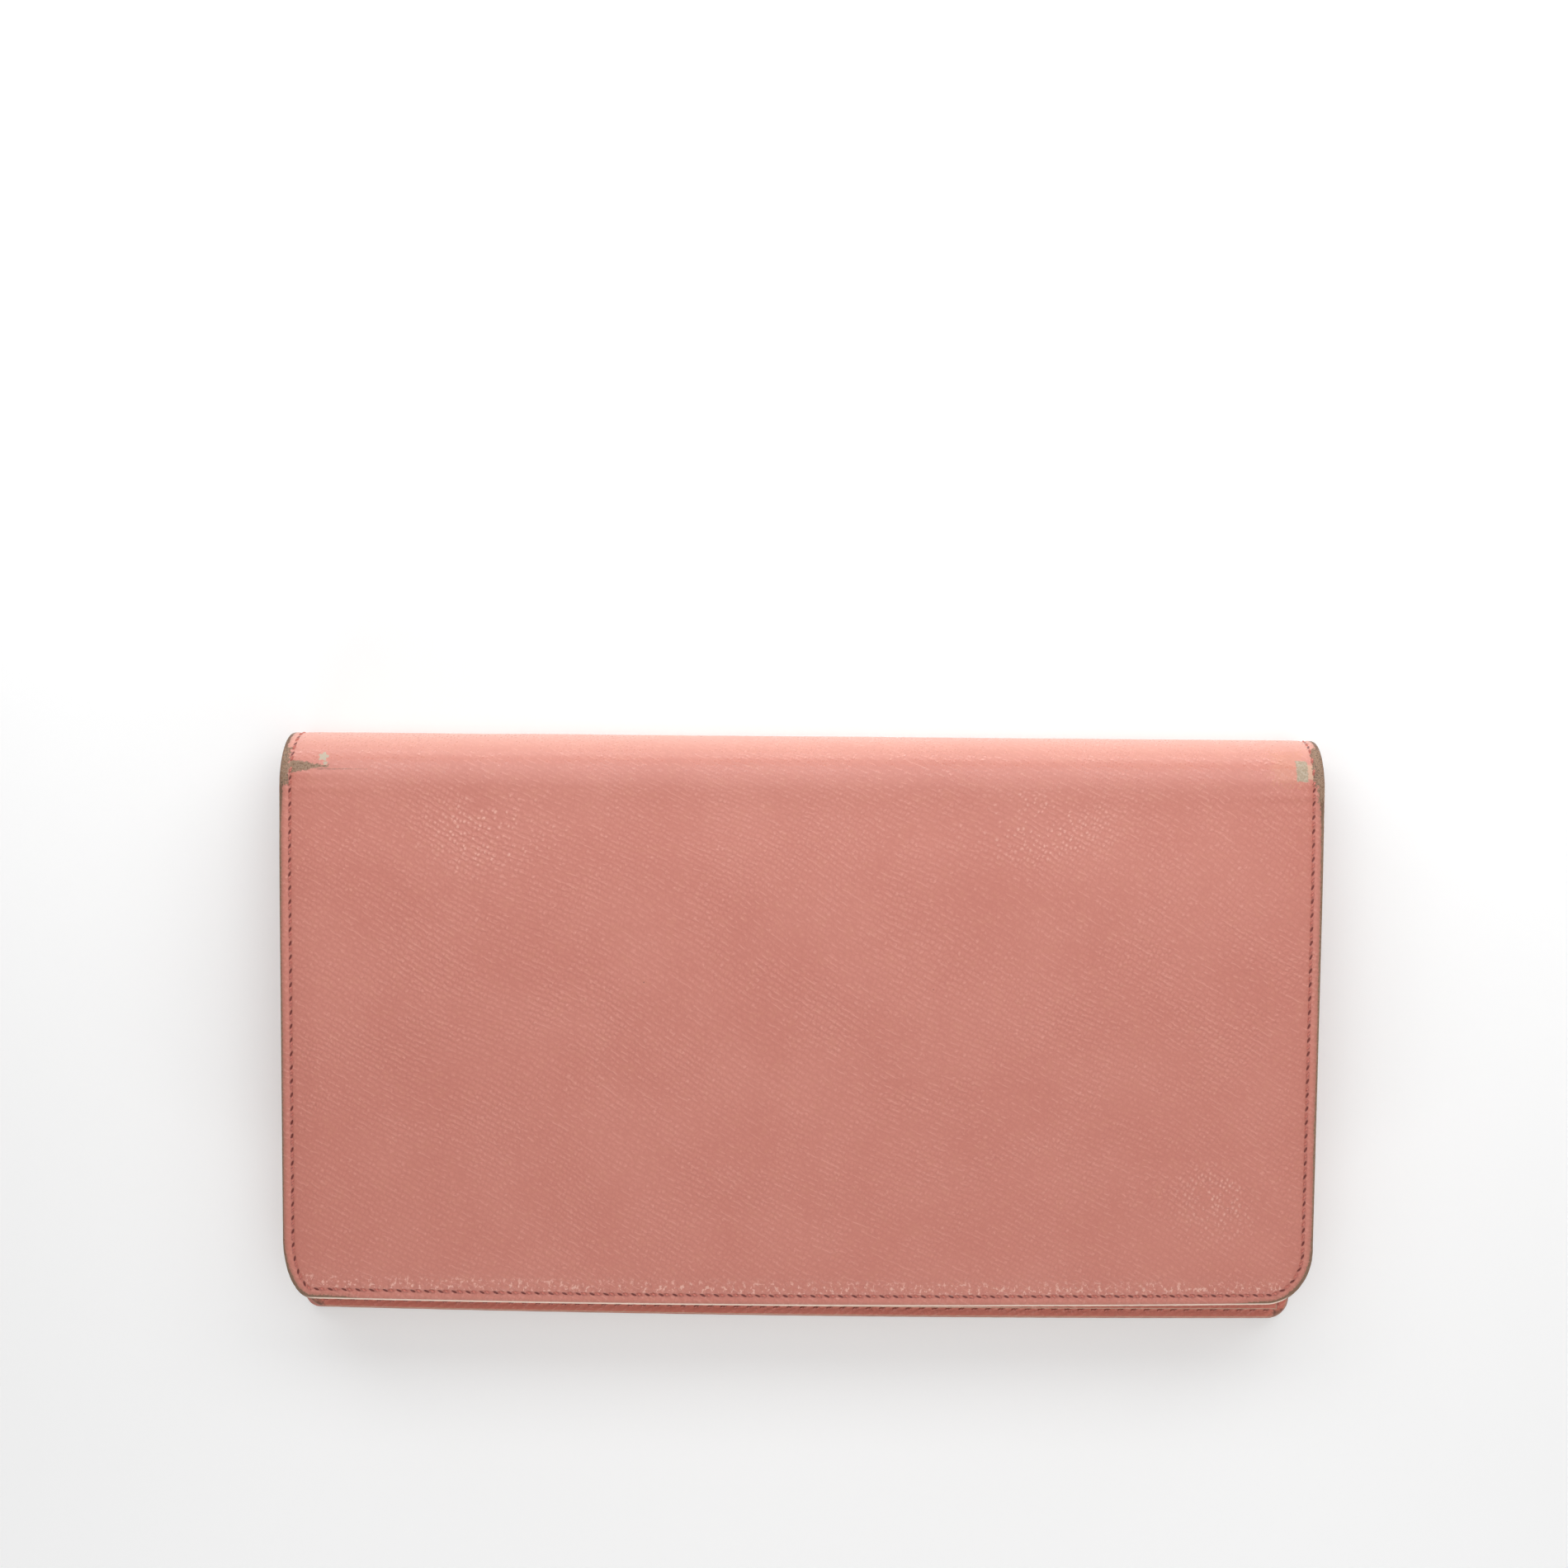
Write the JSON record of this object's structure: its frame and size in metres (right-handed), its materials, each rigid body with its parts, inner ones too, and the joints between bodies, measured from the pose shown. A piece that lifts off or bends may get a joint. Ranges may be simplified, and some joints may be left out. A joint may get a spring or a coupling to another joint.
{
  "type": "long wallet",
  "caption": "Long bifold leather wallet with stitched covers, a rounded fold, card slots, a bill pocket and a zipped coin pocket.",
  "frame": {"origin": "centre of the back cover's outer face, in the middle of the closed wallet's length and width", "axes": "+X along the fold, +Y towards the fold, +Z out of the front cover with the wallet closed and lying on its back cover"},
  "size_m": [0.19, 0.112, 0.02],
  "materials": {
    "cover_leather": "fine embossed pebble grain, semi-matt, dusty salmon pink",
    "lining_leather": "smooth thin lining leather, dusty pink",
    "pocket_leather": "fine grain, semi-matt, dusty salmon pink",
    "board": "matt stiffening board",
    "thread": "twisted polyester thread, pink",
    "lining_fabric": "woven beige lining cloth",
    "zip_tape": "herringbone woven tape, dusty pink",
    "zip_metal": "polished brass"
  },
  "bodies": {
    "back_half": {"back_cover": "cover_leather", "back_board": "board", "back_lining": "lining_leather", "back_seam_outer": "thread", "back_seam_inner": "thread", "bill_pocket": "pocket_leather", "card_slot_left_1": "pocket_leather", "card_slot_left_2": "pocket_leather", "card_slot_left_3": "pocket_leather", "card_slot_left_4": "pocket_leather", "card_slot_right_1": "pocket_leather", "card_slot_right_2": "pocket_leather", "card_slot_right_3": "pocket_leather", "card_slot_right_4": "pocket_leather"},
    "spine_1": {"spine_leather_1": "cover_leather", "spine_lining_1": "lining_leather"},
    "spine_2": {"spine_leather_2": "cover_leather", "spine_lining_2": "lining_leather"},
    "front_half": {"front_cover": "cover_leather", "front_board": "board", "front_lining": "lining_leather", "front_seam_outer": "thread", "front_seam_inner": "thread", "slip_pocket": "pocket_leather", "coin_lining": "lining_fabric", "coin_panel": "pocket_leather", "zip_tape_lower": "zip_tape", "zip_tape_upper": "zip_tape", "zip_teeth_lower": "zip_metal", "zip_teeth_upper": "zip_metal", "zip_stops": "zip_metal"},
    "slider": {"zip_slider": "zip_metal"},
    "pull": {"zip_pull": "zip_metal"}
  },
  "joints": [
    {"name": "fold", "type": "hinge", "parent": "back_half", "child": "spine_1", "pos_m": [0, 0.051, 0.00134], "axis": [-1, 0, 0], "range_deg": [0, 60]},
    {"name": "fold_2", "type": "hinge", "parent": "spine_1", "child": "spine_2", "pos_m": [0, 0.056, 0.01], "axis": [-1, 0, 0], "range_deg": [0, 60]},
    {"name": "fold_3", "type": "hinge", "parent": "spine_2", "child": "front_half", "pos_m": [0, 0.051, 0.01866], "axis": [-1, 0, 0], "range_deg": [0, 60]},
    {"name": "zip_travel", "type": "slide", "parent": "front_half", "child": "slider", "axis": [1, 0, 0], "range_m": [0, 0.124]},
    {"name": "pull_swing", "type": "hinge", "parent": "slider", "child": "pull", "pos_m": [-0.0593, 0.0365, 0.0102], "axis": [0, 0, 1], "range_deg": [-50, 50]}
  ],
  "couplings": [
    {"joint": "fold_2", "follows": "fold", "ratio": 1},
    {"joint": "fold_3", "follows": "fold", "ratio": 1}
  ]
}
